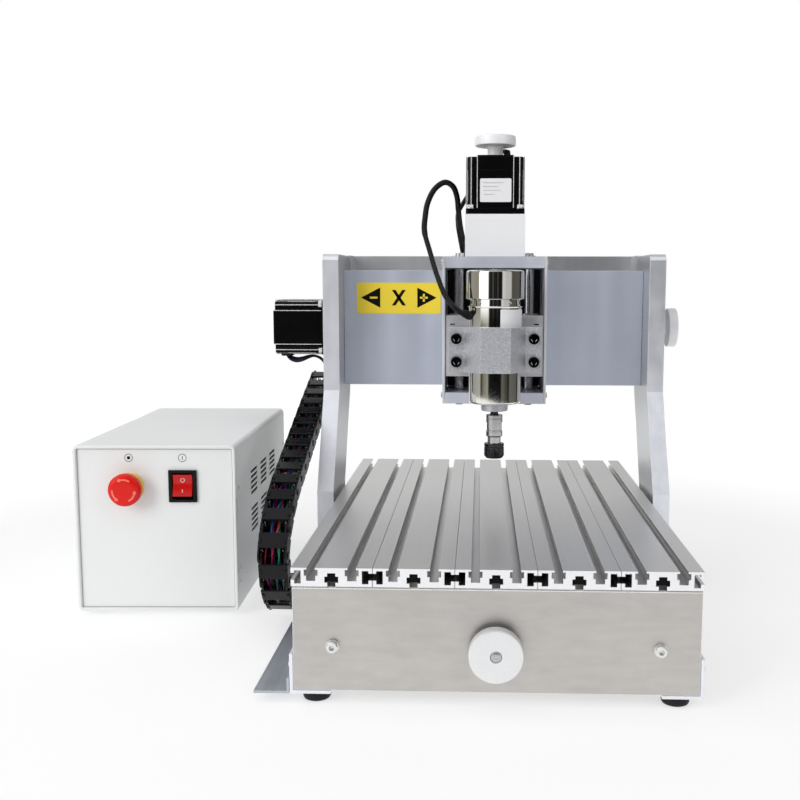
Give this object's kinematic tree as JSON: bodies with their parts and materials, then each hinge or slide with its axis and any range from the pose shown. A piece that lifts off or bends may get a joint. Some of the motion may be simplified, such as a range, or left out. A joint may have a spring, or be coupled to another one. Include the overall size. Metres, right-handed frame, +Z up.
{
  "type": "cnc router",
  "caption": "Small bench-top router with a moving gantry over a T-slot table, screw-driven axes with handwheels, a vertical spindle and a separate controller box.",
  "frame": {"origin": "bottom centre of the bounding box of the whole object, machine and controller, on the surface it stands on", "axes": "+Z up, +X to the operator's right along the gantry, +Y from the operator to the back along the table"},
  "size_m": [0.586, 0.5202, 0.451],
  "materials": {
    "anodised_aluminium": "fine satin anodising, extruded lines along the length",
    "milled_aluminium": "bright milled faces",
    "brushed_aluminium": "brushed, faintly mottled",
    "blue_grey_anodised": "satin blue-grey anodising",
    "bright_steel": "ground and polished",
    "chrome": "mirror polish",
    "black_steel": "blackened, semi-gloss",
    "black_enamel": "gloss black paint",
    "black_plastic": "matte moulded",
    "black_rubber": "matte",
    "white_powder_coat": "satin powder coat",
    "red_plastic": "gloss moulded",
    "yellow_plastic": "satin moulded"
  },
  "bodies": {
    "base": {"base_front_plate": "brushed_aluminium", "base_rear_plate": "brushed_aluminium", "side_angle_left": "milled_aluminium", "side_angle_right": "milled_aluminium", "chain_tray": "brushed_aluminium", "foot_front_left": "black_rubber", "foot_front_right": "black_rubber", "foot_rear_left": "black_rubber", "foot_rear_right": "black_rubber", "table_profile_1": "anodised_aluminium", "table_profile_2": "anodised_aluminium", "table_profile_3": "anodised_aluminium", "table_profile_4": "anodised_aluminium", "table_profile_5": "anodised_aluminium", "y_rod_left": "bright_steel", "y_rod_right": "bright_steel", "y_screw_housing": "milled_aluminium", "y_motor": "black_enamel", "drag_chain": "black_plastic", "controller_case": "white_powder_coat", "controller_front_panel": "white_powder_coat", "controller_rear_panel": "white_powder_coat", "mains_inlet": "black_plastic", "estop_base": "yellow_plastic", "power_switch_bezel": "black_plastic"},
    "y_screw": {"y_screw": "bright_steel", "y_handwheel": "milled_aluminium"},
    "gantry": {"gantry_side_left": "milled_aluminium", "gantry_side_right": "milled_aluminium", "gantry_base_plate": "brushed_aluminium", "y_bearing_left": "milled_aluminium", "y_bearing_right": "milled_aluminium", "y_nut_block": "milled_aluminium", "gantry_front_panel": "blue_grey_anodised", "gantry_rear_cover": "anodised_aluminium", "x_rod_upper": "bright_steel", "x_rod_lower": "bright_steel", "x_motor": "black_enamel", "x_motor_lead": "black_rubber"},
    "x_screw": {"x_screw": "bright_steel", "x_handwheel": "milled_aluminium"},
    "x_carriage": {"x_carriage_block": "milled_aluminium", "z_top_plate": "milled_aluminium", "z_bottom_plate": "milled_aluminium", "z_frame_channel": "milled_aluminium", "z_rod_left": "bright_steel", "z_rod_right": "bright_steel", "z_coupler_box": "milled_aluminium", "z_motor": "black_enamel", "spindle_cable": "black_rubber"},
    "z_screw": {"z_screw": "bright_steel", "z_handwheel": "milled_aluminium"},
    "z_slide": {"z_slide_block": "milled_aluminium", "spindle_clamp": "milled_aluminium", "spindle_body": "chrome"},
    "spindle_rotor": {"collet_holder": "bright_steel", "collet_nut": "black_steel"},
    "estop_plunger": {"estop_plunger": "black_plastic"},
    "estop_head": {"estop_head": "red_plastic"},
    "power_rocker": {"power_rocker": "red_plastic"}
  },
  "joints": [
    {"name": "y_axis", "type": "slide", "parent": "base", "child": "gantry", "axis": [0, 1, 0], "range_m": [-0.205, 0.093], "deforming": ["drag_chain"]},
    {"name": "y_screw_turn", "type": "hinge", "parent": "base", "child": "y_screw", "pos_m": [0.10245, -0.04515, 0.043], "axis": [0, 1, 0], "continuous": true},
    {"name": "x_axis", "type": "slide", "parent": "gantry", "child": "x_carriage", "axis": [1, 0, 0], "range_m": [-0.101, 0.099]},
    {"name": "x_screw_turn", "type": "hinge", "parent": "gantry", "child": "x_screw", "pos_m": [0.10245, 0.09785, 0.2635], "axis": [1, 0, 0], "continuous": true},
    {"name": "z_axis", "type": "slide", "parent": "x_carriage", "child": "z_slide", "axis": [0, 0, 1], "range_m": [-0.015, 0.043], "deforming": ["spindle_cable"]},
    {"name": "z_screw_turn", "type": "hinge", "parent": "x_carriage", "child": "z_screw", "pos_m": [0.10345, 0.04535, 0.3342], "axis": [0, 0, 1], "continuous": true},
    {"name": "spindle_spin", "type": "hinge", "parent": "z_slide", "child": "spindle_rotor", "pos_m": [0.10345, -0.02315, 0.1908], "axis": [0, 0, 1], "continuous": true},
    {"name": "estop_press", "type": "slide", "parent": "base", "child": "estop_plunger", "axis": [-0.0349, 0.9994, 0], "range_m": [0, 0.004], "stiffness_N_per_m": 400},
    {"name": "estop_twist", "type": "hinge", "parent": "estop_plunger", "child": "estop_head", "pos_m": [-0.23239, -0.0596, 0.1217], "axis": [-0.0349, 0.9994, 0], "range_deg": [0, 45], "stiffness_Nm_per_rad": 0.02},
    {"name": "rocker_turn", "type": "hinge", "parent": "base", "child": "power_rocker", "pos_m": [-0.18323, -0.05188, 0.1228], "axis": [0.9994, 0.0349, 0], "range_deg": [0, 16]}
  ],
  "couplings": [
    {"joint": "y_screw_turn", "follows": "y_axis", "rad_per_m": 1570.8},
    {"joint": "x_screw_turn", "follows": "x_axis", "rad_per_m": 1570.8},
    {"joint": "z_screw_turn", "follows": "z_axis", "rad_per_m": 1570.8}
  ]
}
